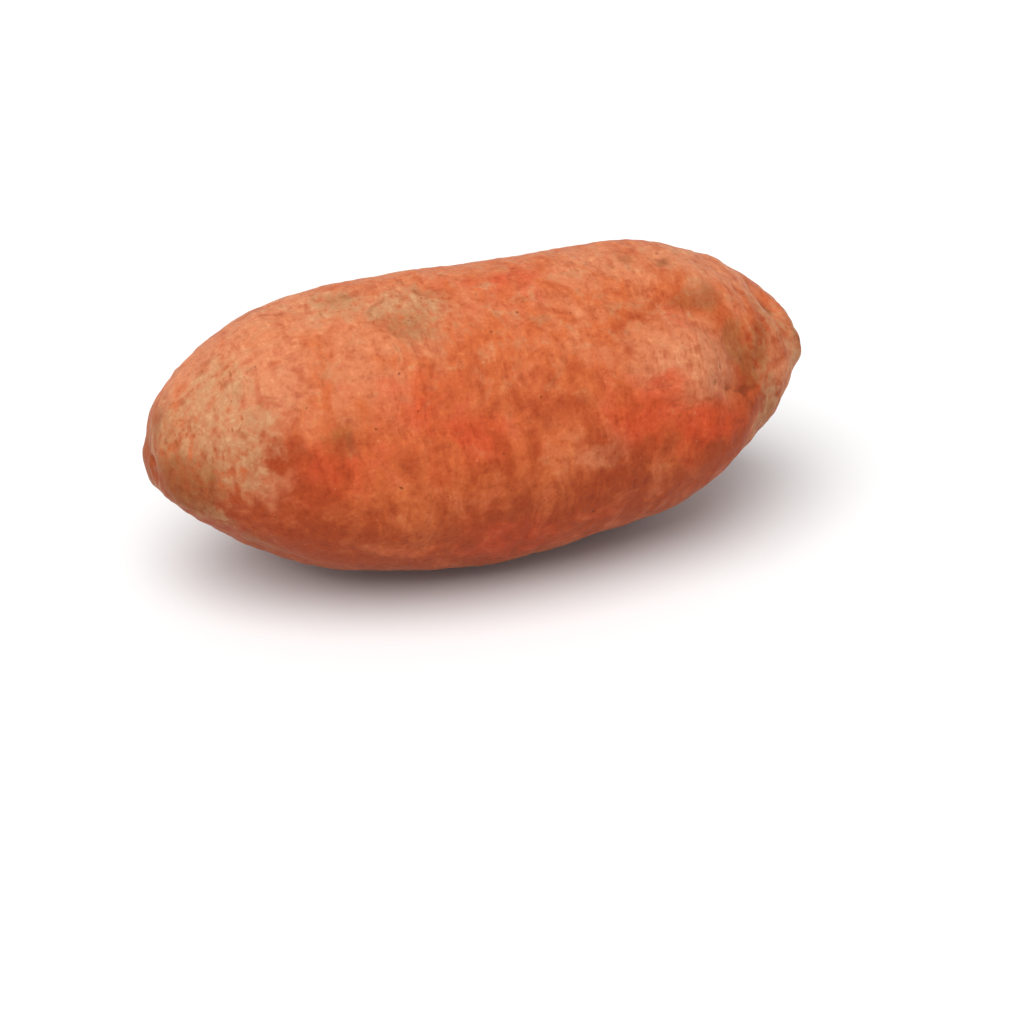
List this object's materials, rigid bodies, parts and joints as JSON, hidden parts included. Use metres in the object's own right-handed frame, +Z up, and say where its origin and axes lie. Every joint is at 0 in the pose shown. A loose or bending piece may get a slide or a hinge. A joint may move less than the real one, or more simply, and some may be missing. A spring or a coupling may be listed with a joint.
{
  "type": "sweet potato",
  "caption": "Whole raw sweet potato: a plump storage root with a tapered root end, a blunt stem end and copper-red skin, lying on its belly.",
  "frame": {"origin": "on the surface that the root lies on, under the middle of the box that holds it", "axes": "+X along the root towards the blunt stem end, +Y towards its hollow flank, +Z up"},
  "size_m": [0.17, 0.076, 0.071],
  "materials": {
    "skin": null
  },
  "bodies": {
    "root": {"sweet_potato": "skin"}
  },
  "joints": []
}
